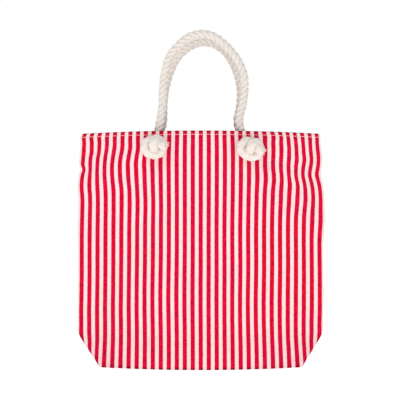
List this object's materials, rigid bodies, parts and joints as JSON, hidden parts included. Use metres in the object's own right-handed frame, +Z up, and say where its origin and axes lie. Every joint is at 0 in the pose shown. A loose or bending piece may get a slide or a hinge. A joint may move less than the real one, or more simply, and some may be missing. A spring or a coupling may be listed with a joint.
{
  "type": "canvas tote bag",
  "caption": "Slim open-topped striped canvas carry bag with boxed bottom corners and twisted rope handles knotted through metal eyelets.",
  "frame": {"origin": "on the floor, under the middle of the flat base", "axes": "+Z up to the handles, -Y out of the front panel, +X to the right seen from the front"},
  "size_m": [0.3956, 0.1466, 0.5434],
  "materials": {
    "canvas": "woven cotton canvas, even red and white stripes about 6 mm wide",
    "seam_thread": "overlocked cotton edge",
    "rope": "cream three-strand twisted cotton rope",
    "eyelet_metal": "satin nickel plate"
  },
  "bodies": {
    "base": {"base_panel": "canvas", "base_seam_back": "seam_thread", "base_seam_front": "seam_thread", "corner_fold_left": "canvas", "corner_fold_right": "canvas", "corner_seam_left": "seam_thread", "corner_seam_right": "seam_thread", "side_seam_left": "seam_thread", "side_seam_right": "seam_thread"},
    "front": {"front_grommet_left": "eyelet_metal", "front_grommet_right": "eyelet_metal", "front_knot_left": "rope", "front_knot_right": "rope", "front_leg_left": "rope", "front_leg_right": "rope", "front_panel": "canvas", "front_washer_left": "eyelet_metal", "front_washer_right": "eyelet_metal"},
    "back": {"back_grommet_left": "eyelet_metal", "back_grommet_right": "eyelet_metal", "back_knot_left": "rope", "back_knot_right": "rope", "back_leg_left": "rope", "back_leg_right": "rope", "back_panel": "canvas", "back_washer_left": "eyelet_metal", "back_washer_right": "eyelet_metal"},
    "front_handle": {"front_handle": "rope"},
    "back_handle": {"back_handle": "rope"}
  },
  "joints": [
    {"name": "front_panel_open", "type": "hinge", "parent": "base", "child": "front", "pos_m": [0, -0.039, 0.001], "axis": [1, 0, 0], "range_deg": [0, 6]},
    {"name": "back_panel_open", "type": "hinge", "parent": "base", "child": "back", "pos_m": [0, 0.039, 0.001], "axis": [-1, 0, 0], "range_deg": [0, 6]},
    {"name": "front_handle_swing", "type": "hinge", "parent": "front", "child": "front_handle", "pos_m": [0, -0.0285, 0.398], "axis": [1, 0, 0], "range_deg": [0, 110]},
    {"name": "back_handle_swing", "type": "hinge", "parent": "back", "child": "back_handle", "pos_m": [0, 0.0285, 0.398], "axis": [-1, 0, 0], "range_deg": [0, 110]}
  ]
}
